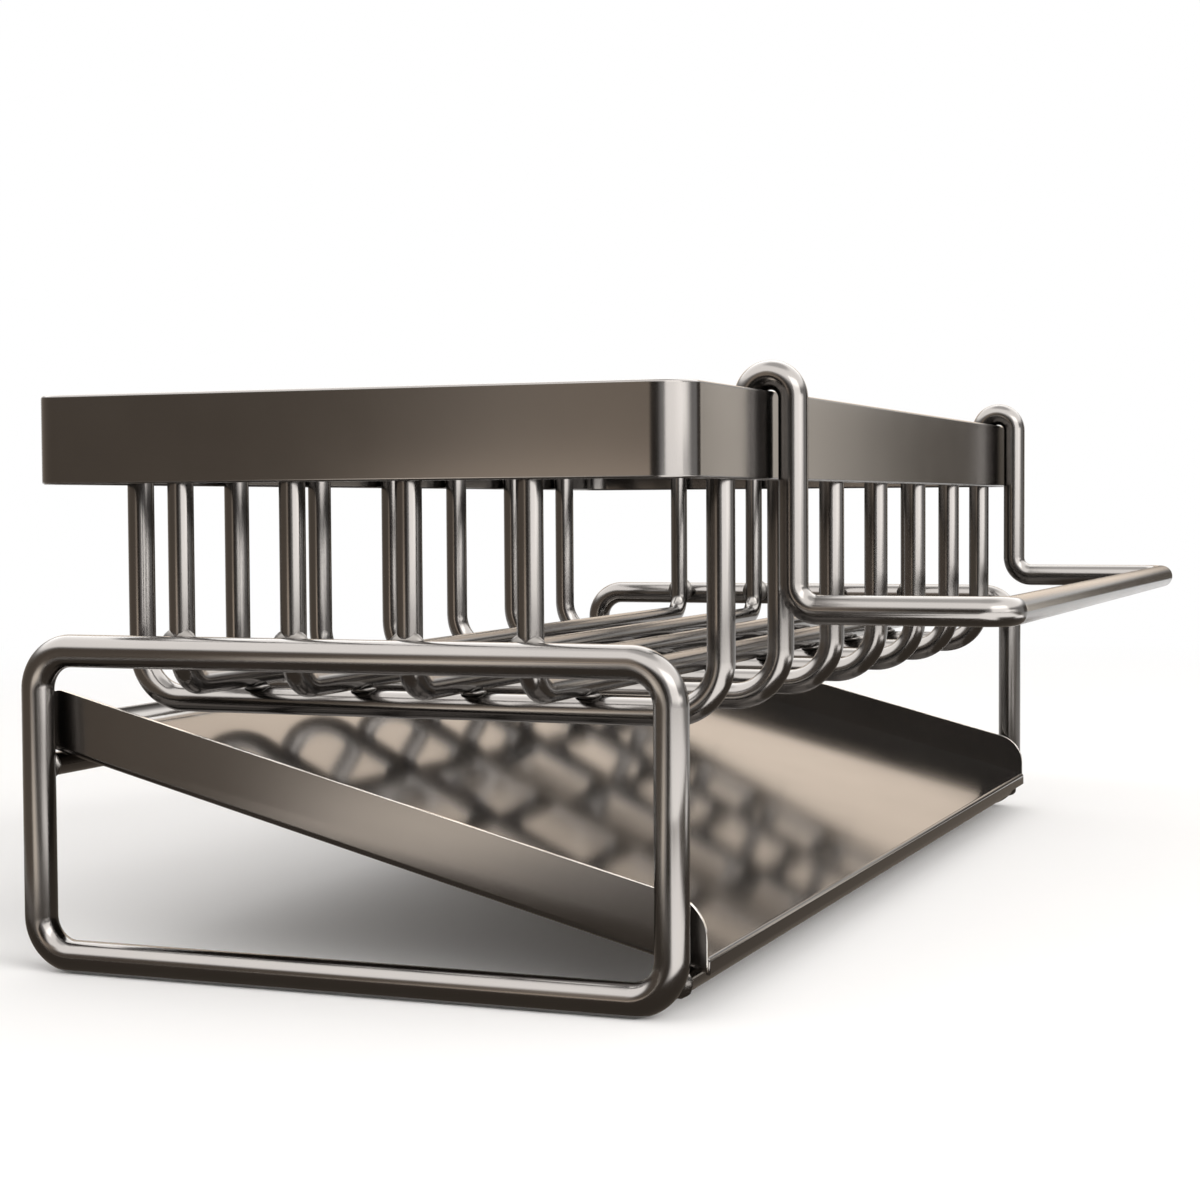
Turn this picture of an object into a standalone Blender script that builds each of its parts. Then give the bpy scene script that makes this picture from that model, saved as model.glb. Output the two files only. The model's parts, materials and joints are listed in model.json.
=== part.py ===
"""Sink caddy: a wire basket on two end loops, with a sloped drip tray and a towel rail."""

import math

import bmesh
import bpy
from mathutils import Matrix, Vector

# Sizes are in metres. X runs across the short end towards the spout, Y runs along the
# long side and Z is up. The whole stands on Z = 0 with its box centred on X and Y.

# Rim band
RIM_WIDTH = 0.150
RIM_DEPTH = 0.328
RIM_HEIGHT = 0.019
RIM_THICKNESS = 0.002
RIM_CORNER_RADIUS = 0.008
RIM_EDGE_RADIUS = 0.0006

# Basket wires
BASKET_BOTTOM = 0.053
BASKET_BELOW_RIM = 0.0515
CROSS_WIRE_DIAMETER = 0.006
CROSS_WIRE_COUNT = 7
CROSS_WIRE_END_MARGIN = 0.036
CROSS_WIRE_BEND_RADIUS = 0.011
LONG_WIRE_DIAMETER = 0.0055
LONG_WIRE_COUNT = 4
LONG_WIRE_SPACING = 0.0267
LONG_WIRE_BEND_RADIUS = 0.007
WIRE_TOP_BELOW_RIM = 0.0035

# End loops
LOOP_ROD_DIAMETER = 0.007
LOOP_WIDTH = 0.151
LOOP_BEND_RADIUS = 0.0085

# Rods under the drip tray
TRAY_ROD_DIAMETER = 0.005
TRAY_ROD_LOW = 0.0067
TRAY_ROD_BELOW_BASKET = 0.009

# Drip tray
TRAY_SHEET = 0.0009
TRAY_SIDE_PLAY = 0.0017
TRAY_PLATE_RISE = 0.010
TRAY_FLOOR_LIFT = 0.0033
TRAY_REAR_BEND_START = 0.0051
TRAY_REAR_BEND_RADIUS = 0.005
TRAY_REAR_BEND_TURN = math.radians(60)
TRAY_REAR_LIP_STRAIGHT = 0.0006
TRAY_SPOUT_OVERHANG = 0.00435
TRAY_FOLD_RADIUS = 0.0012
TRAY_PLATE_OVERHANG = 0.00465
TRAY_PLATE_TOP_RADIUS = 0.003
TRAY_PLATE_LOW_RADIUS = 0.0045
TRAY_PLATE_FRONT_RADIUS = 0.009
TRAY_FLANGE_DEPTH = 0.0035
TRAY_FLANGE_RADIUS = 0.0016

# Towel rail
RAIL_ROD_DIAMETER = 0.0064
RAIL_REACH = 0.125
RAIL_DROP = 0.0467
RAIL_HOOK_PLAY = 0.0008
RAIL_HOOK_WIRE_GAP = 0.0025
RAIL_HOOK_LEG_DROP = 0.012
RAIL_BEND_RADIUS = 0.0055

# Gap left where two pieces are welded to, or rest on, one another
SEAT_GAP = 0.0003

# Faceting
ROD_SIDES = 12
ARC_STEP = math.radians(15)
SAME_POINT_SHARE = 0.0001

# Places that follow from the sizes above
RIM_BOTTOM = BASKET_BOTTOM + BASKET_BELOW_RIM
RIM_TOP = RIM_BOTTOM + RIM_HEIGHT
RIM_INNER_X = RIM_WIDTH / 2 - RIM_THICKNESS
RIM_INNER_Y = RIM_DEPTH / 2 - RIM_THICKNESS
WIRE_TOP = RIM_TOP - WIRE_TOP_BELOW_RIM
CROSS_WIRE_X = RIM_INNER_X - SEAT_GAP - CROSS_WIRE_DIAMETER / 2
CROSS_WIRE_Z = BASKET_BOTTOM + CROSS_WIRE_DIAMETER / 2
CROSS_WIRE_LAST = RIM_DEPTH / 2 - CROSS_WIRE_END_MARGIN
CROSS_WIRE_STEP = 2 * CROSS_WIRE_LAST / (CROSS_WIRE_COUNT - 1)
LONG_WIRE_Y = RIM_INNER_Y - SEAT_GAP - LONG_WIRE_DIAMETER / 2
LONG_WIRE_Z = CROSS_WIRE_Z + (CROSS_WIRE_DIAMETER + LONG_WIRE_DIAMETER) / 2 + SEAT_GAP
LOOP_Y = LONG_WIRE_Y + (LONG_WIRE_DIAMETER + LOOP_ROD_DIAMETER) / 2 + SEAT_GAP
LOOP_SIDE_X = (LOOP_WIDTH - LOOP_ROD_DIAMETER) / 2
LOOP_INNER_Y = LOOP_Y - LOOP_ROD_DIAMETER / 2
LOOP_RISE = LONG_WIRE_Z + LONG_WIRE_BEND_RADIUS - LOOP_ROD_DIAMETER / 2
TRAY_ROD_SPAN = 2 * LOOP_SIDE_X
TRAY_ROD_HIGH = BASKET_BOTTOM - TRAY_ROD_BELOW_BASKET
TRAY_SLOPE = math.atan2(TRAY_ROD_HIGH - TRAY_ROD_LOW, TRAY_ROD_SPAN)
TRAY_SEAT_RISE = TRAY_ROD_DIAMETER / 2 + SEAT_GAP
TRAY_WIDTH = 2 * (LOOP_INNER_Y - TRAY_SIDE_PLAY)
TRAY_SPOUT = TRAY_ROD_SPAN / math.cos(TRAY_SLOPE) + TRAY_SPOUT_OVERHANG
RAIL_HOOK_RADIUS = (RIM_THICKNESS + RAIL_ROD_DIAMETER) / 2 + RAIL_HOOK_PLAY
RAIL_NEAR_Y = CROSS_WIRE_STEP / 2 - CROSS_WIRE_LAST
RAIL_FAR_Y = (CROSS_WIRE_LAST + (CROSS_WIRE_DIAMETER + RAIL_ROD_DIAMETER) / 2
              + RAIL_HOOK_WIRE_GAP)
RACK_X = (LOOP_WIDTH / 2 - RAIL_REACH - RAIL_ROD_DIAMETER / 2) / 2


def clear_scene():
    for item in list(bpy.data.objects):
        bpy.data.objects.remove(item, do_unlink=True)


def make_collection(name):
    collection = bpy.data.collections.new(name)
    bpy.context.scene.collection.children.link(collection)
    return collection


def make_steel(name, colour, roughness):
    material = bpy.data.materials.new(name)
    material.use_nodes = True
    shader = material.node_tree.nodes["Principled BSDF"]
    shader.inputs["Base Color"].default_value = (*colour, 1)
    shader.inputs["Roughness"].default_value = roughness
    shader.inputs["Metallic"].default_value = 1
    material.diffuse_color = (*colour, 1)
    return material


def satin_band_steel(name):
    return make_steel(name, (0.110, 0.101, 0.094), 0.32)


def polished_wire_steel(name):
    return make_steel(name, (0.205, 0.190, 0.176), 0.16)


def polished_loop_steel(name):
    return make_steel(name, (0.165, 0.152, 0.140), 0.18)


def polished_rail_steel(name):
    return make_steel(name, (0.190, 0.176, 0.162), 0.15)


def tray_sheet_steel(name):
    return make_steel(name, (0.120, 0.109, 0.100), 0.24)


def place(item, rack, parts, material):
    """Put a finished piece in the rack's frame, in its own steel."""
    item.data.materials.append(material)
    item.parent = rack
    parts.objects.link(item)


def rounded_path(corners, radii):
    """The points of a path whose corners are rounded by arcs of the given radii."""
    points = []
    longest = max((a - b).length for a, b in zip(corners, corners[1:]))
    for index, corner in enumerate(corners):
        radius = radii[index]
        arc = [corner]
        if radius:
            before = (corners[index - 1] - corner).normalized()
            after = (corners[(index + 1) % len(corners)] - corner).normalized()
            turn = math.pi - before.angle(after)
            centre = corner + (before + after).normalized() * (radius / math.cos(turn / 2))
            spoke = corner + before * (radius * math.tan(turn / 2)) - centre
            axis = after.cross(before)
            steps = math.ceil(turn / ARC_STEP)
            arc = [centre + Matrix.Rotation(turn * step / steps, 3, axis) @ spoke
                   for step in range(steps + 1)]
        for point in arc:
            if not points or (point - points[-1]).length > longest * SAME_POINT_SHARE:
                points.append(point)
    return points


def rounded_rectangle(span_a, span_b, radius, axis_a, axis_b):
    """A closed rounded rectangle, centred, in the plane of two axes."""
    corners = [axis_a * (side_a * span_a / 2) + axis_b * (side_b * span_b / 2)
               for side_a, side_b in ((-1, -1), (1, -1), (1, 1), (-1, 1))]
    return rounded_path(corners, [radius] * len(corners))


def make_rod(name, points, diameter, closed=False):
    """A round rod along a path. Its flats lie at the true radius, so it seats on a flat."""
    path = bpy.data.curves.new(name, "CURVE")
    path.dimensions = "3D"
    path.fill_mode = "FULL"
    path.bevel_depth = diameter / 2 / math.cos(math.pi / ROD_SIDES)
    path.bevel_resolution = (ROD_SIDES - 4) // 2
    path.use_fill_caps = not closed
    spline = path.splines.new("POLY")
    spline.points.add(len(points) - 1)
    for knot, point in zip(spline.points, points):
        knot.co = (*point, 1)
        knot.tilt = math.pi / ROD_SIDES
    spline.use_cyclic_u = closed
    return bpy.data.objects.new(name, path)


def make_ribbon(name, points, sweep, closed):
    """An open surface: the path through the points, swept along a vector."""
    shape = bmesh.new()
    verts = [shape.verts.new(point) for point in points]
    pairs = list(zip(verts, verts[1:]))
    if closed:
        pairs.append((verts[-1], verts[0]))
    edges = [shape.edges.new(pair) for pair in pairs]
    swept = bmesh.ops.extrude_edge_only(shape, edges=edges)["geom"]
    moved = [part for part in swept if isinstance(part, bmesh.types.BMVert)]
    bmesh.ops.translate(shape, verts=moved, vec=sweep)
    bmesh.ops.recalc_face_normals(shape, faces=shape.faces)
    mesh = bpy.data.meshes.new(name)
    shape.to_mesh(mesh)
    shape.free()
    mesh.shade_smooth()
    return bpy.data.objects.new(name, mesh)


def thicken(item, thickness, offset):
    shell = item.modifiers.new("thickness", "SOLIDIFY")
    shell.thickness = thickness
    shell.offset = offset
    shell.use_even_offset = True


def make_rim_band(rack, parts):
    """The band is a ribbon round the rim's outer face, thickened inwards."""
    outline = rounded_rectangle(RIM_WIDTH, RIM_DEPTH, RIM_CORNER_RADIUS,
                                Vector((1, 0, 0)), Vector((0, 1, 0)))
    band = make_ribbon("rim_band", outline, Vector((0, 0, RIM_HEIGHT)), closed=True)
    band.location = (0, 0, RIM_BOTTOM)
    thicken(band, RIM_THICKNESS, -1)
    edges = band.modifiers.new("edges", "BEVEL")
    edges.width = RIM_EDGE_RADIUS
    edges.segments = 2
    edges.limit_method = "ANGLE"
    edges.angle_limit = math.radians(40)
    edges.harden_normals = True
    place(band, rack, parts, satin_band_steel("band_steel"))


def u_wire_points(along, half_span, bottom, bend_radius):
    """A wire that drops from the rim, runs level along one axis and rises again."""
    up = Vector((0, 0, 1))
    corners = [-along * half_span + up * WIRE_TOP, -along * half_span + up * bottom,
               along * half_span + up * bottom, along * half_span + up * WIRE_TOP]
    return rounded_path(corners, [0, bend_radius, bend_radius, 0])


def make_cross_wires(rack, parts):
    points = u_wire_points(Vector((1, 0, 0)), CROSS_WIRE_X, CROSS_WIRE_Z,
                           CROSS_WIRE_BEND_RADIUS)
    for index in range(CROSS_WIRE_COUNT):
        name = f"cross_wire_{index + 1}"
        wire = make_rod(name, points, CROSS_WIRE_DIAMETER)
        wire.location = (0, index * CROSS_WIRE_STEP - CROSS_WIRE_LAST, 0)
        place(wire, rack, parts, polished_wire_steel(name + "_steel"))


def make_long_wires(rack, parts):
    points = u_wire_points(Vector((0, 1, 0)), LONG_WIRE_Y, LONG_WIRE_Z,
                           LONG_WIRE_BEND_RADIUS)
    first = -LONG_WIRE_SPACING * (LONG_WIRE_COUNT - 1) / 2
    for index in range(LONG_WIRE_COUNT):
        name = f"long_wire_{index + 1}"
        wire = make_rod(name, points, LONG_WIRE_DIAMETER)
        wire.location = (first + index * LONG_WIRE_SPACING, 0, 0)
        place(wire, rack, parts, polished_wire_steel(name + "_steel"))


def make_end_loops(rack, parts):
    """Each loop's top bar is welded to the long wires where their bends end."""
    points = rounded_rectangle(2 * LOOP_SIDE_X, LOOP_RISE, LOOP_BEND_RADIUS,
                               Vector((1, 0, 0)), Vector((0, 0, 1)))
    for name, side in (("near_end_loop", -1), ("far_end_loop", 1)):
        loop = make_rod(name, points, LOOP_ROD_DIAMETER, closed=True)
        loop.location = (0, side * LOOP_Y, (LOOP_RISE + LOOP_ROD_DIAMETER) / 2)
        place(loop, rack, parts, polished_loop_steel(name + "_steel"))


def make_tray_rods(rack, parts):
    """Two straight rods between the loops. The tray's side plates rest on them."""
    half_length = LOOP_INNER_Y - SEAT_GAP
    ends = [Vector((0, -half_length, 0)), Vector((0, half_length, 0))]
    for name, x, z in (("tray_rod_rear", -LOOP_SIDE_X, TRAY_ROD_HIGH),
                       ("tray_rod_front", LOOP_SIDE_X, TRAY_ROD_LOW)):
        rod = make_rod(name, ends, TRAY_ROD_DIAMETER)
        rod.location = (x, 0, z)
        place(rod, rack, parts, polished_wire_steel(name + "_steel"))


def tray_floor_points():
    """The floor's upper face, from the curved-up rear edge to the foot of the spout lip.

    In the tray's frame X runs down the slope and Z = 0 is the side plates' lower edge.
    """
    setback = TRAY_REAR_BEND_RADIUS * math.tan(TRAY_REAR_BEND_TURN / 2)
    bend_start = TRAY_REAR_BEND_START - TRAY_PLATE_OVERHANG
    rear_corner = Vector((bend_start - setback, 0, TRAY_FLOOR_LIFT))
    rear_run = setback + TRAY_REAR_LIP_STRAIGHT
    rear_tip = rear_corner + rear_run * Vector((-math.cos(TRAY_REAR_BEND_TURN), 0,
                                                math.sin(TRAY_REAR_BEND_TURN)))
    spout = Vector((TRAY_SPOUT, 0, TRAY_FLOOR_LIFT))
    lip_foot = spout + Vector((TRAY_FLOOR_LIFT * math.tan(TRAY_SLOPE), 0, -TRAY_FLOOR_LIFT))
    return rounded_path([rear_tip, rear_corner, spout, lip_foot],
                        [0, TRAY_REAR_BEND_RADIUS, TRAY_FOLD_RADIUS, 0])


def side_plate_paths():
    """The outline of a side plate: first its flanged rear and lower edge, then the rest.

    The front edge is upright when the tray lies in place.
    """
    lean = math.tan(TRAY_SLOPE)
    top = TRAY_FLOOR_LIFT + TRAY_PLATE_RISE
    front = TRAY_SPOUT + TRAY_FLOOR_LIFT * lean - TRAY_SHEET / 2 / math.cos(TRAY_SLOPE)
    rear = -TRAY_PLATE_OVERHANG
    flange_start = Vector((rear, 0, top - TRAY_PLATE_TOP_RADIUS))
    flange_end = Vector((front, 0, 0))
    flanged = rounded_path([flange_start, Vector((rear, 0, 0)), flange_end],
                           [0, TRAY_PLATE_LOW_RADIUS, 0])
    free = rounded_path([flange_end, Vector((front - top * lean, 0, top)),
                         Vector((rear, 0, top)), flange_start],
                        [0, TRAY_PLATE_FRONT_RADIUS, TRAY_PLATE_TOP_RADIUS, 0])
    return flanged, free[1:-1]


def make_side_plate(name, side, tray, guides):
    """A sheet plate whose rear and lower edges turn inwards, joined to the floor's side."""
    flanged, free = side_plate_paths()
    shape = bmesh.new()
    edge_verts = [shape.verts.new(point) for point in flanged]
    shape.faces.new(edge_verts + [shape.verts.new(point) for point in free])
    turned = [shape.edges.get(pair) for pair in zip(edge_verts, edge_verts[1:])]
    flange = bmesh.ops.extrude_edge_only(shape, edges=turned)["geom"]
    moved = [part for part in flange if isinstance(part, bmesh.types.BMVert)]
    bmesh.ops.translate(shape, verts=moved, vec=(0, -side * TRAY_FLANGE_DEPTH, 0))
    bmesh.ops.bevel(shape, geom=turned, offset=TRAY_FLANGE_RADIUS, offset_type="OFFSET",
                    segments=4, profile=0.5, affect="EDGES")
    bmesh.ops.recalc_face_normals(shape, faces=shape.faces)
    mesh = bpy.data.meshes.new(name)
    shape.to_mesh(mesh)
    shape.free()
    plate = bpy.data.objects.new(name, mesh)
    plate.location = (0, side * TRAY_WIDTH / 2, 0)
    plate.parent = tray
    plate.hide_render = True
    plate.display_type = "WIRE"
    thicken(plate, TRAY_SHEET, -1)
    guides.objects.link(plate)
    join = tray.modifiers.new(name, "BOOLEAN")
    join.operation = "UNION"
    join.solver = "EXACT"
    join.object = plate


def make_drip_tray(rack, parts, guides):
    """A sheet floor between two side plates, sliding down its own slope."""
    floor_width = TRAY_WIDTH - TRAY_SHEET
    start = Vector((0, -floor_width / 2, 0))
    points = [point + start for point in tray_floor_points()]
    tray = make_ribbon("drip_tray", points, Vector((0, floor_width, 0)), closed=False)
    tray.location = (-LOOP_SIDE_X + TRAY_SEAT_RISE * math.sin(TRAY_SLOPE), 0,
                     TRAY_ROD_HIGH + TRAY_SEAT_RISE * math.cos(TRAY_SLOPE))
    tray.rotation_euler = (0, TRAY_SLOPE, 0)
    thicken(tray, TRAY_SHEET, -1)
    for name, side in (("near_side_plate", -1), ("far_side_plate", 1)):
        make_side_plate(name, side, tray, guides)
    place(tray, rack, parts, tray_sheet_steel("tray_steel"))


def make_towel_rail(rack, parts):
    """One bent rod, hooked on the rim between the first two cross wires and past the last.

    Its origin is on the rim's top edge, midway between the two hooks.
    """
    seat_x = RIM_WIDTH / 2 - RIM_THICKNESS / 2
    arch = RAIL_ROD_DIAMETER / 2
    arm = -RAIL_DROP - SEAT_GAP
    bar = RAIL_REACH - seat_x
    half_length = (RAIL_FAR_Y - RAIL_NEAR_Y) / 2
    profile = [(-RAIL_HOOK_RADIUS, -RAIL_HOOK_LEG_DROP), (-RAIL_HOOK_RADIUS, arch),
               (RAIL_HOOK_RADIUS, arch), (RAIL_HOOK_RADIUS, arm), (bar, arm)]
    bends = [0, RAIL_HOOK_RADIUS, RAIL_HOOK_RADIUS, RAIL_BEND_RADIUS, RAIL_BEND_RADIUS]
    near = [Vector((x, -half_length, z)) for x, z in profile]
    far = [Vector((x, half_length, z)) for x, z in reversed(profile)]
    points = rounded_path(near + far, bends + bends[::-1])
    rail = make_rod("towel_rail", points, RAIL_ROD_DIAMETER)
    rail.location = (seat_x, (RAIL_NEAR_Y + RAIL_FAR_Y) / 2, RIM_TOP + SEAT_GAP)
    place(rail, rack, parts, polished_rail_steel("rail_steel"))


def main():
    clear_scene()
    parts = make_collection("sink_caddy")
    guides = make_collection("sink_caddy_guides")
    rack = bpy.data.objects.new("rack_centre", None)
    rack.location = (RACK_X, 0, 0)
    guides.objects.link(rack)
    make_rim_band(rack, parts)
    make_cross_wires(rack, parts)
    make_long_wires(rack, parts)
    make_end_loops(rack, parts)
    make_tray_rods(rack, parts)
    make_drip_tray(rack, parts, guides)
    make_towel_rail(rack, parts)
    bpy.context.view_layer.update()


main()
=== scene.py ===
import json
import math

import bmesh
import bpy
from mathutils import Matrix, Vector, noise


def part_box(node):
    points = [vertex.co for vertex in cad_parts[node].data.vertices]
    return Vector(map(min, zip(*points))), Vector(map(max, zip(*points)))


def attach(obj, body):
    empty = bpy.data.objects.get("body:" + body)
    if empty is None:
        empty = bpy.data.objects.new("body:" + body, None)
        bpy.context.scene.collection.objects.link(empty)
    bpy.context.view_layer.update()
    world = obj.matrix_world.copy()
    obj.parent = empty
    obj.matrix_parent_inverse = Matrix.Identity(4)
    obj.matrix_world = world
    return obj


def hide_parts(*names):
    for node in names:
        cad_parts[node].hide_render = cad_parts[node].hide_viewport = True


# A sink caddy of gunmetal steel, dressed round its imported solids. Lengths are in metres.
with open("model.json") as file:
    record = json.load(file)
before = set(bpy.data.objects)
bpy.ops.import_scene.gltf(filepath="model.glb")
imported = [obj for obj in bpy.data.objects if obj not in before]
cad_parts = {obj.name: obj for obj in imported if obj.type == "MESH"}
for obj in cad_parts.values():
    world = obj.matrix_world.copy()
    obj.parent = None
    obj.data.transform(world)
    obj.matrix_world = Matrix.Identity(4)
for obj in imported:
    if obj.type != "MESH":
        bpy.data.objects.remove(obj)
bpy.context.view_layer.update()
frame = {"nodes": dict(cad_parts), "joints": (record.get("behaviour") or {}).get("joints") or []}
print("frame loaded:", len(frame["nodes"]), "nodes")

xAxis, yAxis, zAxis = Vector((1, 0, 0)), Vector((0, 1, 0)), Vector((0, 0, 1))


# Paths and sweeps

sweepLook = {
    "rodSides": 40,                     # facets round a rod
    "bendStep": math.radians(5),        # turn between two rings in a bend
    "samePoint": 1e-6,                  # points nearer than this are one
    "roundSteps": 4,                    # rings in the rounding of a cut end
    "sharpAngle": math.radians(40),     # edges sharper than this stay crisp
    "cornerLoss": 0.9,                  # share of an inset that a section's corner gives up
}


def roundedPath(corners, radii):
    points = []
    for index, corner in enumerate(corners):
        radius = radii[index]
        arc = [corner]
        if radius:
            before = (corners[index - 1] - corner).normalized()
            after = (corners[(index + 1) % len(corners)] - corner).normalized()
            turn = math.pi - before.angle(after)
            centre = corner + (before + after).normalized() * (radius / math.cos(turn / 2))
            spoke = corner + before * (radius * math.tan(turn / 2)) - centre
            steps = math.ceil(turn / sweepLook["bendStep"])
            arc = [centre + Matrix.Rotation(turn * step / steps, 3, after.cross(before)) @ spoke
                   for step in range(steps + 1)]
        points += [point for point in arc
                   if not points or (point - points[-1]).length > sweepLook["samePoint"]]
    return points


def roundedRectangle(width, height, radius, across, up):
    corners = [across * (a * width / 2) + up * (b * height / 2)
               for a, b in ((-1, -1), (1, -1), (1, 1), (-1, 1))]
    return roundedPath(corners, [radius] * 4)


def roundOutline(radius):
    turns = [2 * math.pi * side / sweepLook["rodSides"] for side in range(sweepLook["rodSides"])]
    return lambda inset: [((radius - inset) * math.cos(turn), (radius - inset) * math.sin(turn))
                          for turn in turns]


def sheetOutline(thickness, width, edgeRadius, shift=0):
    # Thickness lies along the first axis of the section and width along the second
    def outline(inset):
        corner = edgeRadius - inset * sweepLook["cornerLoss"]  # never quite shrinks to a point
        points = roundedRectangle(thickness - 2 * inset, width - 2 * inset, corner, xAxis, yAxis)
        return [(point.x + shift, point.y) for point in points]
    return outline


def sectionAxes(tangents, upright):
    # The section keeps one axis upright, or else turns no more than the path does
    if upright is not None:
        return [(tangent.cross(upright).normalized(), upright) for tangent in tangents]
    first = tangents[0].orthogonal().normalized()
    axes = [(first, first.cross(tangents[0]))]
    for before, after in zip(tangents, tangents[1:]):
        across = before.rotation_difference(after) @ axes[-1][0]
        axes.append((across, across.cross(after)))
    return axes


def sweep(name, points, outline, closed=False, upright=None, endRound=0.0):
    steps = [(b - a).normalized() for a, b in zip(points, points[1:] + points[:1])]
    if closed:
        tangents = [(steps[i - 1] + steps[i]).normalized() for i in range(len(points))]
    else:
        middle = [(a + b).normalized() for a, b in zip(steps, steps[1:-1])]
        tangents = [steps[0]] + middle + [steps[-2]]
    stations = [(point, 0.0, axes) for point, axes
                in zip(points, sectionAxes(tangents, upright))]
    if endRound:
        turns = [math.pi / 2 * k / sweepLook["roundSteps"]
                 for k in range(sweepLook["roundSteps"] + 1)]
        rounding = [(endRound * (1 - math.cos(turn)), endRound * (1 - math.sin(turn)))
                    for turn in turns]
        head = [(points[0] + tangents[0] * back, inset, stations[0][2])
                for back, inset in rounding]
        tail = [(points[-1] - tangents[-1] * back, inset, stations[-1][2])
                for back, inset in reversed(rounding)]
        stations = head + stations[1:-1] + tail

    shape = bmesh.new()
    along = shape.loops.layers.uv.new("along")       # metres along the path, metres round it
    rings, runs = [], [0.0]
    for index, (point, inset, (across, up)) in enumerate(stations):
        rings.append([shape.verts.new(point + across * a + up * b) for a, b in outline(inset)])
        if index:
            runs.append(runs[-1] + (point - stations[index - 1][0]).length)
    flat = outline(0)
    girth = [0.0]
    for a, b in zip(flat, flat[1:] + flat[:1]):
        girth.append(girth[-1] + math.dist(a, b))
    pairs = list(zip(range(len(rings)), range(1, len(rings))))
    if closed:
        pairs.append((len(rings) - 1, 0))
        runs.append(runs[-1] + (points[0] - points[-1]).length)
    sides = len(flat)
    for a, b in pairs:
        for side in range(sides):
            after = (side + 1) % sides
            face = shape.faces.new((rings[a][side], rings[a][after],
                                    rings[b][after], rings[b][side]))
            places = ((runs[a], girth[side]), (runs[a], girth[side + 1]),
                      (runs[a + 1], girth[side + 1]), (runs[a + 1], girth[side]))
            for loop, place in zip(face.loops, places):
                loop[along].uv = place
    if not closed:
        for ring in (rings[0], rings[-1]):
            face = shape.faces.new(ring)
            for loop, place in zip(face.loops, flat):
                loop[along].uv = place
    bmesh.ops.recalc_face_normals(shape, faces=shape.faces)
    return toObject(name, shape)


def toObject(name, shape):
    mesh = bpy.data.meshes.new(name)
    shape.to_mesh(mesh)
    shape.free()
    mesh.shade_smooth()
    mesh.set_sharp_from_angle(angle=sweepLook["sharpAngle"])
    piece = bpy.data.objects.new(name, mesh)
    bpy.context.scene.collection.objects.link(piece)
    return piece


def dress(piece, material, body, slot, *nodes):
    piece.data.materials.append(material)
    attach(piece, body)
    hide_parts(*nodes)


# Materials

def linearColour(hexColour):
    channels = [int(hexColour[start:start + 2], 16) / 255 for start in (1, 3, 5)]
    return (*(c / 12.92 if c <= 0.04045 else ((c + 0.055) / 1.055) ** 2.4 for c in channels), 1)


def addNode(tree, kind, settings=None, inputs=None):
    node = tree.nodes.new(kind)
    for name, value in (settings or {}).items():
        setattr(node, name, value)
    for name, value in (inputs or {}).items():
        if isinstance(value, bpy.types.NodeSocket):
            tree.links.new(value, node.inputs[name])
        else:
            node.inputs[name].default_value = value
    return node


# Stainless steel under a thin dark vapour-deposited coat, a finish known as gunmetal. The
# coat keeps the metal's own polish, so the eye sees a dark, slightly warm mirror, and its
# grain runs the way the steel was drawn or rolled. Real grain is about a tenth as wide: it
# is drawn as coarse as it needs to show. Lengths are in metres here too.
drawnSteel = {
    "light": "#64615e", "dark": "#5d5a58", "roughness": 0.18, "spread": 0.04,
    "grainLength": 0.050, "grainWidth": 0.00050, "grainHeight": 0.0000002, "coords": "UV",
}
rolledSteel = {
    "light": "#605d5a", "dark": "#5b5856", "roughness": 0.18, "spread": 0.03,
    "grainLength": 0.030, "grainWidth": 0.00040, "grainHeight": 0.0000002, "coords": "UV",
}
steelLooks = {
    # Rolled strip, polished before it was bent: an even sheen with faint lines along it
    "coatedStrip": {**rolledSteel, "grainWidth": 0.00035},
    # Wire drawn through a die: long faint lines in the streak of light down each wire
    "coatedWire": {**drawnSteel, "grainWidth": 0.00045},
    # The same in thicker rod, for the loops and the towel rail
    "coatedRod": drawnSteel,
    # Pressed sheet: a little duller, so what it mirrors is a soft change of tone
    "coatedSheet": {**rolledSteel, "roughness": 0.21, "coords": "Object"},
    # The tray's floor, polished again after it was bent: the clearest mirror of them all
    "coatedPan": {**rolledSteel, "roughness": 0.13},
    # The plates' cut edges, painted pale: a painted highlight line along them
    "paintedEdgeHighlight": {
        "light": "#cfcbc6", "dark": "#bbb7b2", "roughness": 0.20, "spread": 0.06,
        "grainLength": 0.010, "grainWidth": 0.00030, "grainHeight": 0.0000002,
        "coords": "Object"},
    # Beads squeezed out by resistance welding: lumpy, darker and dulled by the heat
    "coatedWeld": {
        "light": "#605d5a", "dark": "#4d4a47", "roughness": 0.30, "spread": 0.10,
        "grainLength": 0.002, "grainWidth": 0.0009, "grainHeight": 0.0000200,
        "coords": "Object"},
}
coat = {
    "smudgeSize": 0.022,            # soft clouds in the coat, as wide as a fingertip
    "smudgeDetail": 2,
    "smudgeShare": 0.75,            # of the change in gloss; the grain gives the rest
    "grainDetail": 3,
    "grainRoughness": 0.6,
    "noiseRange": (0.3, 0.7),       # nearly all of the noise lies between these
}


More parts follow.
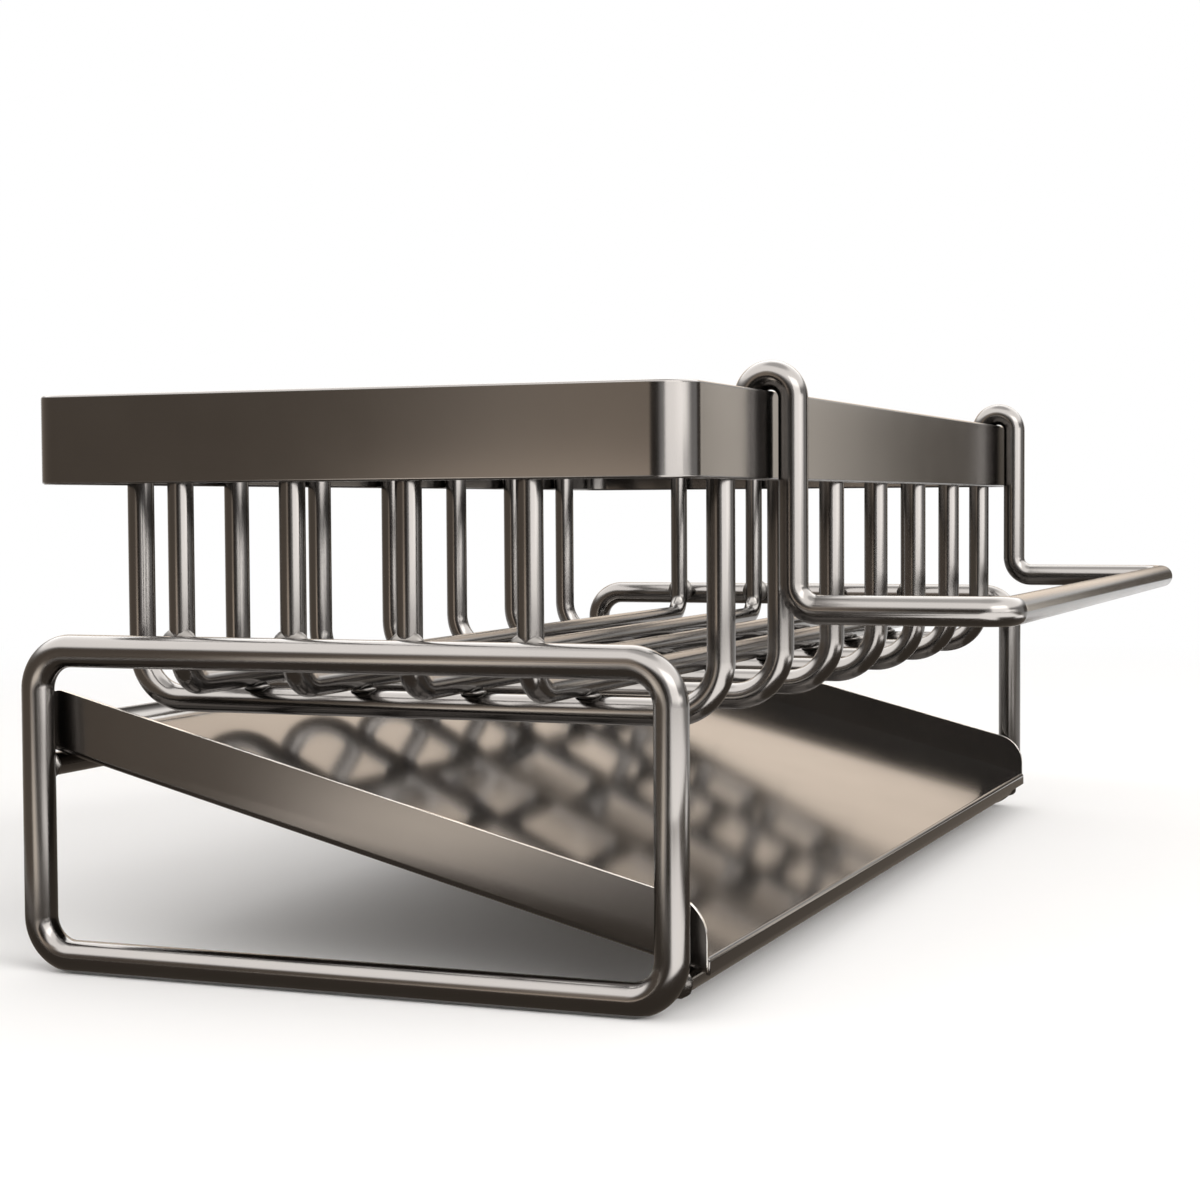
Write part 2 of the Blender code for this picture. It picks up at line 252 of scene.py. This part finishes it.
def coatedSteel(name):
    look = steelLooks[name]
    material = bpy.data.materials.new(name + "Steel")
    material.use_nodes = True
    tree = material.node_tree
    shader = tree.nodes["Principled BSDF"]
    shader.inputs["Metallic"].default_value = 1
    place = addNode(tree, "ShaderNodeTexCoord").outputs[look["coords"]]
    stretch = (1 / look["grainLength"], 1 / look["grainWidth"], 1 / look["grainWidth"])
    drawn = addNode(tree, "ShaderNodeMapping", {}, {"Vector": place, "Scale": stretch})
    grain = addNode(tree, "ShaderNodeTexNoise", {}, {
        "Vector": drawn.outputs["Vector"], "Scale": 1, "Detail": coat["grainDetail"],
        "Roughness": coat["grainRoughness"]})
    cloud = addNode(tree, "ShaderNodeTexNoise", {}, {
        "Vector": place, "Scale": 1 / coat["smudgeSize"], "Detail": coat["smudgeDetail"]})
    tone = addNode(tree, "ShaderNodeMix", {"data_type": "RGBA"}, {
        "Factor": cloud.outputs["Fac"], "A": linearColour(look["dark"]),
        "B": linearColour(look["light"])})
    tree.links.new(tone.outputs[2], shader.inputs["Base Color"])
    blend = addNode(tree, "ShaderNodeMix", {"data_type": "FLOAT"}, {
        "Factor": coat["smudgeShare"], "A": grain.outputs["Fac"], "B": cloud.outputs["Fac"]})
    noiseLow, noiseHigh = coat["noiseRange"]
    shine = addNode(tree, "ShaderNodeMapRange", {}, {
        "Value": blend.outputs[0], "From Min": noiseLow, "From Max": noiseHigh,
        "To Min": look["roughness"] - look["spread"] / 2,
        "To Max": look["roughness"] + look["spread"] / 2})
    tree.links.new(shine.outputs["Result"], shader.inputs["Roughness"])
    bump = addNode(tree, "ShaderNodeBump", {}, {
        "Height": grain.outputs["Fac"], "Strength": 1, "Distance": look["grainHeight"]})
    tree.links.new(bump.outputs["Normal"], shader.inputs["Normal"])
    return material


steels = {name: coatedSteel(name) for name in steelLooks}
print("materials made:", len(steels))


# Rim band: flat strip, bent round the top and welded shut

rim = {
    "thickness": 0.002,
    "cornerRadius": 0.008,      # outside, at the four corners of the basket
    "edgeRadius": 0.0006,       # along the strip's own edges
}


def makeRimBand():
    low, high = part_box("rim_band")
    inset = rim["thickness"]
    path = roundedRectangle(high.x - low.x - inset, high.y - low.y - inset,
                            rim["cornerRadius"] - inset / 2, xAxis, yAxis)
    middle = (low + high) / 2
    outline = sheetOutline(rim["thickness"], high.z - low.z, rim["edgeRadius"])
    band = sweep("rimBand", [point + middle for point in path], outline, closed=True,
                 upright=zAxis)
    dress(band, steels["coatedStrip"], "rack", "band_steel", "rim_band")


makeRimBand()
print("rim band made")


# Basket wires: U-shaped, their cut ends rounded over

wire = {
    "crossBend": 0.011,         # bend radii, to the middle of the wire
    "longBend": 0.007,
    "endRound": 0.0007,
}


def bentWire(name, node, across, bendRadius):
    low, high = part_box(node)
    size = high - low
    thin = zAxis.cross(across)                    # the level axis that the wire doesn't run along
    radius = abs(size.dot(thin)) / 2
    middle = (low + high) / 2
    reach = across * (abs(size.dot(across)) / 2 - radius)
    top = Vector((middle.x, middle.y, high.z))
    bottom = Vector((middle.x, middle.y, low.z + radius))
    corners = [top - reach, bottom - reach, bottom + reach, top + reach]
    path = roundedPath(corners, [0, bendRadius, bendRadius, 0])
    piece = sweep(name, path, roundOutline(radius), endRound=wire["endRound"])
    dress(piece, steels["coatedWire"], "rack", "wire_steel", node)


crossNodes = sorted(node for node in frame["nodes"] if node.startswith("cross_wire_"))
longNodes = sorted(node for node in frame["nodes"] if node.startswith("long_wire_"))
for node in crossNodes:
    bentWire("crossWire" + node[-1], node, xAxis, wire["crossBend"])
for node in longNodes:
    bentWire("longWire" + node[-1], node, yAxis, wire["longBend"])
print("wires made:", len(crossNodes) + len(longNodes))


# End loops: closed rod, the caddy's feet

loop = {"bendRadius": 0.0085}      # to the middle of the rod


def makeLoop(name, node):
    low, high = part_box(node)
    diameter = high.y - low.y
    path = roundedRectangle(high.x - low.x - diameter, high.z - low.z - diameter,
                            loop["bendRadius"], xAxis, zAxis)
    middle = (low + high) / 2
    piece = sweep(name, [point + middle for point in path], roundOutline(diameter / 2),
                  closed=True)
    dress(piece, steels["coatedRod"], "rack", "loop_steel", node)


makeLoop("nearLoop", "near_end_loop")
makeLoop("farLoop", "far_end_loop")
print("end loops made")


# Rods under the tray

def makeTrayRod(name, node):
    low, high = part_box(node)
    middle = (low + high) / 2
    ends = [Vector((middle.x, low.y, middle.z)), Vector((middle.x, high.y, middle.z))]
    piece = sweep(name, ends, roundOutline((high.x - low.x) / 2))
    dress(piece, steels["coatedWire"], "rack", "wire_steel", node)


makeTrayRod("rearRod", "tray_rod_rear")
makeTrayRod("frontRod", "tray_rod_front")
print("tray rods made")


# Drip tray: a sheet floor between two pressed side plates

tray = {
    "sheet": 0.0009,
    "edgeRadius": 0.0003,               # the floor's cut edges
    "seatGap": 0.0003,                  # between the tray and the rods it rests on
    "floorLift": 0.0033,                # the floor above the plates' lower edge
    "plateRise": 0.010,                 # the plates above the floor
    "plateOverhang": 0.00465,           # the plates past the middle of the rear rod
    "spoutOverhang": 0.00435,           # the floor past the middle of the front rod
    "rearBendStart": 0.0051,            # where the floor turns up, from the plates' rear end
    "rearBendRadius": 0.005,
    "rearBendTurn": math.radians(60),
    "rearStraight": 0.0006,             # the straight bit above that bend
    "foldRadius": 0.0012,               # the spout's fold
    "topRadius": 0.003,                 # the plates' corners
    "lowRadius": 0.0045,
    "frontRadius": 0.009,
    "flangeDepth": 0.0035,              # the plates' lower edge, turned in under the floor
    "flangeRadius": 0.0016,
    "flangeSteps": 8,
    "plateEdgeRadius": 0.00042,         # the plates' cut edges, which catch the light
    "plateEdgeSteps": 5,
    "plateEdgeAngle": math.radians(60),     # edges sharper than this are rounded
    "samePoint": 0.00001,               # the flange's bend leaves doubled points at its ends
}
slideAxis = Vector(next(joint for joint in frame["joints"] if joint["child"] == "tray")["axis"])
slope = math.atan2(-slideAxis.z, slideAxis.x)


def trayFrame():
    # X runs down the slope and Z = 0 is the side plates' lower edge
    rearLow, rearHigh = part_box("tray_rod_rear")
    middle = (rearLow + rearHigh) / 2
    rise = (rearHigh.x - rearLow.x) / 2 + tray["seatGap"]
    origin = Vector((middle.x + rise * math.sin(slope), 0, middle.z + rise * math.cos(slope)))
    return Matrix.Translation(origin) @ Matrix.Rotation(slope, 4, "Y")


def spoutPlace():
    rearLow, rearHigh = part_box("tray_rod_rear")
    frontLow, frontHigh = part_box("tray_rod_front")
    span = (frontLow + frontHigh - rearLow - rearHigh).x / 2
    return span / math.cos(slope) + tray["spoutOverhang"]


def makeTrayFloor(width):
    turn, radius = tray["rearBendTurn"], tray["rearBendRadius"]
    setback = radius * math.tan(turn / 2)
    lift = zAxis * tray["floorLift"]
    corner = xAxis * (tray["rearBendStart"] - tray["plateOverhang"] - setback) + lift
    rearRun = Vector((-math.cos(turn), 0, math.sin(turn))) * (setback + tray["rearStraight"])
    spout = xAxis * spoutPlace() + lift
    foot = spout + Vector((math.tan(slope), 0, -1)) * tray["floorLift"]
    path = roundedPath([corner + rearRun, corner, spout, foot],
                       [0, radius, tray["foldRadius"], 0])
    outline = sheetOutline(tray["sheet"], width - tray["sheet"], tray["edgeRadius"],
                           shift=-tray["sheet"] / 2)
    return sweep("trayFloor", path, outline, upright=yAxis, endRound=tray["edgeRadius"])


def makeSidePlate(name, side, width):
    lean = math.tan(slope)
    top = tray["floorLift"] + tray["plateRise"]
    front = spoutPlace() + tray["floorLift"] * lean - tray["sheet"] / 2 / math.cos(slope)
    rear = -tray["plateOverhang"]
    start = Vector((rear, 0, top - tray["topRadius"]))
    end = Vector((front, 0, 0))
    flanged = roundedPath([start, Vector((rear, 0, 0)), end], [0, tray["lowRadius"], 0])
    free = roundedPath([end, Vector((front - top * lean, 0, top)), Vector((rear, 0, top)), start],
                       [0, tray["frontRadius"], tray["topRadius"], 0])
    shape = bmesh.new()
    edgeVerts = [shape.verts.new(point) for point in flanged]
    # Both ends are in there already, and the point before the last crowds the flange's end
    loose = free[1:-2]
    shape.faces.new(edgeVerts + [shape.verts.new(point) for point in loose])
    turned = [shape.edges.get(pair) for pair in zip(edgeVerts, edgeVerts[1:])]
    flange = bmesh.ops.extrude_edge_only(shape, edges=turned)["geom"]
    moved = [part for part in flange if isinstance(part, bmesh.types.BMVert)]
    bmesh.ops.translate(shape, verts=moved, vec=yAxis * (-side * tray["flangeDepth"]))
    bmesh.ops.bevel(shape, geom=turned, offset=tray["flangeRadius"], offset_type="OFFSET",
                    segments=tray["flangeSteps"], profile=0.5, affect="EDGES")
    bmesh.ops.remove_doubles(shape, verts=shape.verts, dist=tray["samePoint"])
    bmesh.ops.translate(shape, verts=shape.verts, vec=yAxis * (side * width / 2))
    bmesh.ops.recalc_face_normals(shape, faces=shape.faces)
    plate = toObject(name, shape)
    shell = plate.modifiers.new("sheet", "SOLIDIFY")
    shell.thickness = tray["sheet"]
    shell.offset = -1
    shell.use_even_offset = True
    # The cut edges take the second material: pale paint, a painted highlight along them
    shell.material_offset_rim = 1                 # the cut edge takes the second material
    edges = plate.modifiers.new("edges", "BEVEL")
    edges.width = tray["plateEdgeRadius"]
    edges.segments = tray["plateEdgeSteps"]
    # The rounded edges take the painted highlight too
    edges.material = 1
    edges.limit_method = "ANGLE"
    edges.angle_limit = tray["plateEdgeAngle"]
    edges.harden_normals = True
    return plate


def makeTray():
    low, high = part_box("drip_tray")
    width = high.y - low.y
    plates = [makeSidePlate("nearPlate", -1, width), makeSidePlate("farPlate", 1, width)]
    pieces = [(makeTrayFloor(width), "coatedPan")]
    pieces += [(plate, "coatedSheet") for plate in plates]
    for piece, look in pieces:
        piece.matrix_world = trayFrame()
        dress(piece, steels[look], "tray", "tray_steel", "drip_tray")
    for plate in plates:
        # Pale paint on the cut edges: a painted highlight
        plate.data.materials.append(steels["paintedEdgeHighlight"])


makeTray()
print("drip tray made")


# Towel rail: one bent rod that hooks over the band

rail = {
    "diameter": 0.0064,
    "hookRadius": 0.0050,       # bend radii, to the middle of the rod
    "bendRadius": 0.0055,
    "legDrop": 0.012,           # the hook's inner leg below the seat
    "seatGap": 0.0003,          # between the hook and the top of the band
    "endRound": 0.0012,
}


def makeRail():
    low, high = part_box("towel_rail")
    radius = rail["diameter"] / 2
    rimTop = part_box("rim_band")[1].z
    arch = high.z - radius
    inner = low.x + radius
    outer = inner + 2 * rail["hookRadius"]
    bar = high.x - radius
    arm = low.z + radius
    foot = rimTop + rail["seatGap"] - rail["legDrop"]
    profile = [(inner, foot), (inner, arch), (outer, arch), (outer, arm), (bar, arm)]
    bends = [0, rail["hookRadius"], rail["hookRadius"], rail["bendRadius"], rail["bendRadius"]]
    near = [Vector((x, low.y + radius, z)) for x, z in profile]
    far = [Vector((x, high.y - radius, z)) for x, z in reversed(profile)]
    path = roundedPath(near + far, bends + bends[::-1])
    piece = sweep("towelRail", path, roundOutline(radius), endRound=rail["endRound"])
    dress(piece, steels["coatedRod"], "rail", "rail_steel", "towel_rail")


makeRail()
print("towel rail made")


# Welds: a small squeezed-out bead wherever two rods, or a rod and the band, are joined

weld = {
    "crossing": Vector((0.0029, 0.0029, 0.0009)),       # half sizes, between two wires
    "rimHalfLength": 0.0062,                            # between a wire's end and the band
    "rimHalfWidth": 0.0016,
    "rimHalfDepth": 0.0011,
    "loopBead": Vector((0.0044, 0.0017, 0.0040)),       # between a long wire and a loop
    "loopBeadRise": 0.0012,
    "loopBeadDepth": 0.0017,
    "rodBead": Vector((0.0030, 0.0013, 0.0030)),        # between a tray rod and a loop
    "lumpSize": 0.0011,
    "lumpHeight": 0.07,                                 # share of the bead's size
    "meridians": 24,
    "parallels": 14,
}


def middleOf(node):
    low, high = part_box(node)
    return (low + high) / 2


def makeBeads(name, spots):
    shape = bmesh.new()
    for centre, halfSize in spots:
        grown = bmesh.ops.create_uvsphere(shape, u_segments=weld["meridians"],
                                          v_segments=weld["parallels"], radius=1)
        for vert in grown["verts"]:
            bead = Vector([a * b for a, b in zip(vert.co, halfSize)])
            lump = noise.noise((bead + centre) / weld["lumpSize"])
            vert.co = centre + bead * (1 + weld["lumpHeight"] * lump)
    piece = toObject(name, shape)
    dress(piece, steels["coatedWeld"], "rack", "wire_steel")


def crossingSpots():
    low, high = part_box(crossNodes[0])
    crossTop = low.z + (high - low).y               # a cross wire is as thick as it is deep
    level = (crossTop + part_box(longNodes[0])[0].z) / 2
    return [(Vector((middleOf(long).x, middleOf(cross).y, level)), weld["crossing"])
            for cross in crossNodes for long in longNodes]


def rimSpots():
    low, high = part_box("rim_band")
    level = (low.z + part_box(crossNodes[0])[1].z) / 2
    depth, width, length = weld["rimHalfDepth"], weld["rimHalfWidth"], weld["rimHalfLength"]
    spots = []
    for side, edge in ((1, low), (-1, high)):
        for cross in crossNodes:
            x = edge.x + side * rim["thickness"]
            spots.append((Vector((x, middleOf(cross).y, level)), Vector((depth, width, length))))
        for long in longNodes:
            y = edge.y + side * rim["thickness"]
            spots.append((Vector((middleOf(long).x, y, level)), Vector((width, depth, length))))
    return spots


def loopSpots():
    spots = []
    for node, side in (("near_end_loop", 1), ("far_end_loop", -1)):
        low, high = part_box(node)
        inner = high.y if side > 0 else low.y
        level = high.z - (high.y - low.y) / 2
        seat = Vector((0, inner + side * weld["loopBeadDepth"], level + weld["loopBeadRise"]))
        spots += [(seat + xAxis * middleOf(long).x, weld["loopBead"]) for long in longNodes]
        spots += [(Vector((middleOf(rod).x, inner, middleOf(rod).z)), weld["rodBead"])
                  for rod in ("tray_rod_rear", "tray_rod_front")]
    return spots


makeBeads("basketWelds", crossingSpots())
makeBeads("rimWelds", rimSpots())
makeBeads("loopWelds", loopSpots())
print("welds made")


# Floor, background, lamp, cards and camera

studio = {
    "floorColour": "#f4f2f0",
    "floorRoughness": 0.9,
    "floorSpecular": 0.1,
    "floorSize": 60.0,
    "fadeStart": 0.4,            # distances between which the floor fades into the background
    "fadeEnd": 1.1,
    "wallLevel": 1.0,
    "ringLevel": 5.5,            # a ring of softboxes overhead, seen in reflections
    "ringStart": (0.33, 0.50),   # sines of the heights between which it sets in
    "ringEnd": (0.88, 0.97),     # and of those between which it fades
    "zenithShare": 0.5,          # level straight above, as a share of the ring's
    "diffuseLevel": 0.90,        # what the room gives matt surfaces
}

# Azimuth runs from the near end (0) round to the towel rail (90), in degrees
keyLight = {"azimuth": 50, "level": 0.66, "distance": 1.3, "size": (1.15, 1.2), "power": 22}

# Curved cards round the object and on the table in front, as when polished metal is
# photographed: they show in reflections only. Feathers are shares of the card, at its
# start, end, foot and head. A card with an under level glows on top and hardly below, so
# that the tray's floor, which sees it from below, stays grey.
whiteCard, softCard, warmCard = "#ffffff", "#fff6ea", "#ffedda"
cards = {
    "leftCard": {"azimuths": (-125, -18), "radii": (1.22, 1.22), "heights": (0, 0.55),
                 "colour": warmCard, "glow": 0.45, "feathers": (0.15, 0.05, 0.01, 0.45)},
    "fillCard": {"azimuths": (-26, -8), "radii": (1.2, 1.2), "heights": (0, 0.8),
                 "colour": warmCard, "glow": 1.3, "feathers": (0.60, 0.25, 0.01, 0.3)},
    "fillFoot": {"azimuths": (-26, -8), "radii": (1.15, 1.15), "heights": (0, 0.11),
                 "colour": warmCard, "glow": 3.0, "feathers": (0.40, 0.25, 0.01, 0.4)},
    "gapCard": {"azimuths": (-16, 17), "radii": (1.25, 1.25), "heights": (0, 0.55),
                "colour": warmCard, "glow": 0.10, "feathers": (0.20, 0.30, 0.01, 0.45)},
    "rightCard": {"azimuths": (124, 155), "radii": (1.2, 1.2), "heights": (0, 0.55),
                  "colour": warmCard, "glow": 0.15, "feathers": (0.25, 0.01, 0.01, 0.45)},
    "cornerCard": {"azimuths": (42, 105), "radii": (1.2, 1.2), "heights": (0.10, 0.34),
                   "colour": whiteCard, "glow": 7.6, "feathers": (0.45, 0.45, 0.2, 0.3)},
    "edgeCard": {"azimuths": (152, 165), "radii": (1.15, 1.15), "heights": (0, 0.4),
                 "colour": softCard, "glow": 2.05, "feathers": (0.03, 0.80, 0.01, 0.45)},
    "backCard": {"azimuths": (154, 235), "radii": (1.2, 1.2), "heights": (0, 0.25),
                 "colour": warmCard, "glow": 0.12, "feathers": (0.01, 0.10, 0.01, 0.30)},
    "backGlow": {"azimuths": (165, 240), "radii": (1.3, 1.3), "heights": (0.18, 1.0),
                 "colour": warmCard, "glow": 1.5, "feathers": (0.15, 0.15, 0.08, 0.20)},
    "tableShade": {"azimuths": (-180, 180), "radii": (0.01, 0.29), "heights": (0.001, 0.001),
                   "colour": warmCard, "glow": 0.22, "feathers": (0.0001, 0.0001, 0.01, 0.2)},
    "tableLeft": {"azimuths": (-110, -18), "radii": (0.26, 1.25), "heights": (0.0015, 0.0015),
                  "colour": warmCard, "glow": 0.50, "feathers": (0.3, 0.10, 0.05, 0.01)},
    "tableGap": {"azimuths": (-4, 14), "radii": (0.26, 1.2), "heights": (0.0015, 0.0015),
                 "colour": warmCard, "glow": 0.15, "feathers": (0.2, 0.3, 0.05, 0.01)},
    "tableFar": {"azimuths": (14, 115), "radii": (0.28, 1.25), "heights": (0.001, 0.001),
                 "colour": warmCard, "glow": 0.40, "feathers": (0.1, 0.2, 0.02, 0.01)},
    "tableGlow": {"azimuths": (12, 48), "radii": (0.188, 0.45), "heights": (0.002, 0.002),
                  "colour": whiteCard, "glow": 5.9, "feathers": (0.15, 0.2, 0.02, 0.35)},
    "lowShelf": {"azimuths": (11, 80), "radii": (0.195, 0.62), "heights": (0.036, 0.036),
                 "colour": whiteCard, "glow": 5.9, "under": 0.25,
                 "feathers": (0.12, 0.2, 0.02, 0.25)},
    "tableEdge": {"azimuths": (66, 106), "radii": (0.19, 0.29), "heights": (0.012, 0.012),
                  "colour": whiteCard, "glow": 6.0, "under": 0.2,
                  "feathers": (0.25, 0.25, 0.25, 0.25)},
    "shelf": {"azimuths": (12, 100), "radii": (0.44, 1.25), "heights": (0.066, 0.066),
              "colour": whiteCard, "glow": 6.0, "under": 0.3,
              "feathers": (0.25, 0.15, 0.02, 0.01)},
    "tablePatch": {"azimuths": (-27, -5), "radii": (0.25, 0.75), "heights": (0.002, 0.002),
                   "colour": softCard, "glow": 4.4, "feathers": (0.45, 0.45, 0.15, 0.5)},
}
cardSteps = 24              # flat strips round a card

photoCamera = {
    "place": (0.19066, -0.57403, 0.09935),
    "yaw": math.radians(21.33),
    "pitch": math.radians(-2.389),
    "roll": math.radians(-0.338),
    "lens": 68.12,
    "sensor": 36.0,
    "farClip": 100,
}


def seenDirectly(tree):
    # 1 for the rays that see the background: from the camera, a reflection or through glass
    path = addNode(tree, "ShaderNodeLightPath").outputs
    seen = path["Is Camera Ray"]
    for ray in ("Is Glossy Ray", "Is Transmission Ray"):
        either = addNode(tree, "ShaderNodeMath", {"operation": "MAXIMUM"}, {
            0: seen, 1: path[ray]})
        seen = either.outputs[0]
    return seen


def makeWorld():
    world = bpy.data.worlds.new("paleRoom")
    world.use_nodes = True
    tree = world.node_tree
    direction = addNode(tree, "ShaderNodeTexCoord").outputs["Generated"]
    height = addNode(tree, "ShaderNodeSeparateXYZ", {}, {"Vector": direction}).outputs["Z"]
    ring = addNode(tree, "ShaderNodeMapRange", {"interpolation_type": "SMOOTHSTEP"}, {
        "Value": height, "From Min": studio["ringStart"][0], "From Max": studio["ringStart"][1],
        "To Min": studio["wallLevel"], "To Max": studio["ringLevel"]})
    zenith = addNode(tree, "ShaderNodeMapRange", {"interpolation_type": "SMOOTHSTEP"}, {
        "Value": height, "From Min": studio["ringEnd"][0], "From Max": studio["ringEnd"][1],
        "To Min": 1, "To Max": studio["zenithShare"]})
    sky = addNode(tree, "ShaderNodeMath", {"operation": "MULTIPLY"}, {
        0: ring.outputs["Result"], 1: zenith.outputs["Result"]})
    strength = addNode(tree, "ShaderNodeMix", {"data_type": "FLOAT"}, {
        "Factor": seenDirectly(tree), "A": studio["diffuseLevel"], "B": sky.outputs[0]})
    background = tree.nodes["Background"]
    background.inputs["Color"].default_value = (1, 1, 1, 1)
    tree.links.new(strength.outputs[0], background.inputs["Strength"])
    bpy.context.scene.world = world


def makeFloor():
    material = bpy.data.materials.new("paleFloor")
    material.use_nodes = True
    tree = material.node_tree
    shader = tree.nodes["Principled BSDF"]
    shader.inputs["Base Color"].default_value = linearColour(studio["floorColour"])
    shader.inputs["Roughness"].default_value = studio["floorRoughness"]
    shader.inputs["Specular IOR Level"].default_value = studio["floorSpecular"]
    place = addNode(tree, "ShaderNodeTexCoord").outputs["Object"]
    reach = addNode(tree, "ShaderNodeVectorMath", {"operation": "LENGTH"}, {0: place})
    fade = addNode(tree, "ShaderNodeMapRange", {"interpolation_type": "SMOOTHSTEP"}, {
        "Value": reach.outputs["Value"],
        "From Min": studio["fadeStart"], "From Max": studio["fadeEnd"]})
    share = addNode(tree, "ShaderNodeMath", {"operation": "MULTIPLY"}, {
        0: fade.outputs["Result"], 1: seenDirectly(tree)})
    glow = addNode(tree, "ShaderNodeEmission", {}, {"Strength": studio["wallLevel"]})
    mix = addNode(tree, "ShaderNodeMixShader", {}, {
        0: share.outputs[0], 1: shader.outputs[0], 2: glow.outputs[0]})
    tree.links.new(mix.outputs[0], tree.nodes["Material Output"].inputs["Surface"])
    shape = bmesh.new()
    bmesh.ops.create_grid(shape, x_segments=1, y_segments=1, size=studio["floorSize"] / 2)
    floor = toObject("floor", shape)
    floor.data.materials.append(material)


def outward(azimuth):
    turn = math.radians(azimuth)
    return Vector((math.sin(turn), -math.cos(turn), 0))


def makeKeyLight():
    lamp = bpy.data.lights.new("keyLight", "AREA")
    lamp.shape = "RECTANGLE"
    lamp.size, lamp.size_y = keyLight["size"]
    lamp.energy = keyLight["power"]
    away = outward(keyLight["azimuth"])
    holder = bpy.data.objects.new("keyLight", lamp)
    holder.location = away * keyLight["distance"] + zAxis * keyLight["level"]
    holder.rotation_euler = away.to_track_quat("Z", "Y").to_euler()
    holder.visible_camera = False
    bpy.context.scene.collection.objects.link(holder)


def cardMaterial(name, look):
    # An even glow that fades out towards the card's edges
    material = bpy.data.materials.new(name)
    material.use_nodes = True
    tree = material.node_tree
    place = addNode(tree, "ShaderNodeTexCoord").outputs["UV"]
    axes = addNode(tree, "ShaderNodeSeparateXYZ", {}, {"Vector": place}).outputs
    start, end, foot, head = look["feathers"]
    share = 1
    for axis, edge, inner in (("X", 0, start), ("X", 1, 1 - end),
                              ("Y", 0, foot), ("Y", 1, 1 - head)):
        feather = addNode(tree, "ShaderNodeMapRange", {"interpolation_type": "SMOOTHSTEP"}, {
            "Value": axes[axis], "From Min": edge, "From Max": inner})
        product = addNode(tree, "ShaderNodeMath", {"operation": "MULTIPLY"}, {
            0: share, 1: feather.outputs["Result"]})
        share = product.outputs[0]
    strength = look["glow"]
    if "under" in look:
        back = addNode(tree, "ShaderNodeNewGeometry").outputs["Backfacing"]
        sided = addNode(tree, "ShaderNodeMix", {"data_type": "FLOAT"}, {
            "Factor": back, "A": look["glow"], "B": look["under"]})
        strength = sided.outputs[0]
    clear = addNode(tree, "ShaderNodeBsdfTransparent")
    glow = addNode(tree, "ShaderNodeEmission", {}, {
        "Color": linearColour(look["colour"]), "Strength": strength})
    mix = addNode(tree, "ShaderNodeMixShader", {}, {
        0: share, 1: clear.outputs[0], 2: glow.outputs[0]})
    tree.links.new(mix.outputs[0], tree.nodes["Material Output"].inputs["Surface"])
    return material


def makeCards():
    for name, look in cards.items():
        start, end = look["azimuths"]
        shape = bmesh.new()
        layer = shape.loops.layers.uv.new("card")
        columns = []
        for step in range(cardSteps + 1):
            share = step / cardSteps
            away = outward(start + (end - start) * share)
            spots = [away * radius + zAxis * height
                     for radius, height in zip(look["radii"], look["heights"])]
            columns.append((share, *(shape.verts.new(spot) for spot in spots)))
        for (u, foot, head), (nextU, nextFoot, nextHead) in zip(columns, columns[1:]):
            face = shape.faces.new((foot, head, nextHead, nextFoot))
            for corner, place in zip(face.loops, ((u, 0), (u, 1), (nextU, 1), (nextU, 0))):
                corner[layer].uv = place
        card = toObject(name, shape)
        card.data.materials.append(cardMaterial(name, look))
        card.visible_camera = False
        card.visible_diffuse = False
        card.visible_shadow = False


def makeCamera():
    camera = bpy.data.objects.new("photoCamera", bpy.data.cameras.new("photoCamera"))
    camera.data.lens = photoCamera["lens"]
    camera.data.sensor_width = photoCamera["sensor"]
    camera.data.clip_end = photoCamera["farClip"]
    camera.matrix_world = (Matrix.Translation(photoCamera["place"])
                           @ Matrix.Rotation(photoCamera["yaw"], 4, "Z")
                           @ Matrix.Rotation(math.pi / 2 + photoCamera["pitch"], 4, "X")
                           @ Matrix.Rotation(photoCamera["roll"], 4, "Z"))
    bpy.context.scene.collection.objects.link(camera)
    bpy.context.scene.camera = camera


makeWorld()
makeFloor()
makeKeyLight()
makeCards()
makeCamera()
bpy.context.scene.view_settings.view_transform = "Standard"
print("studio made")
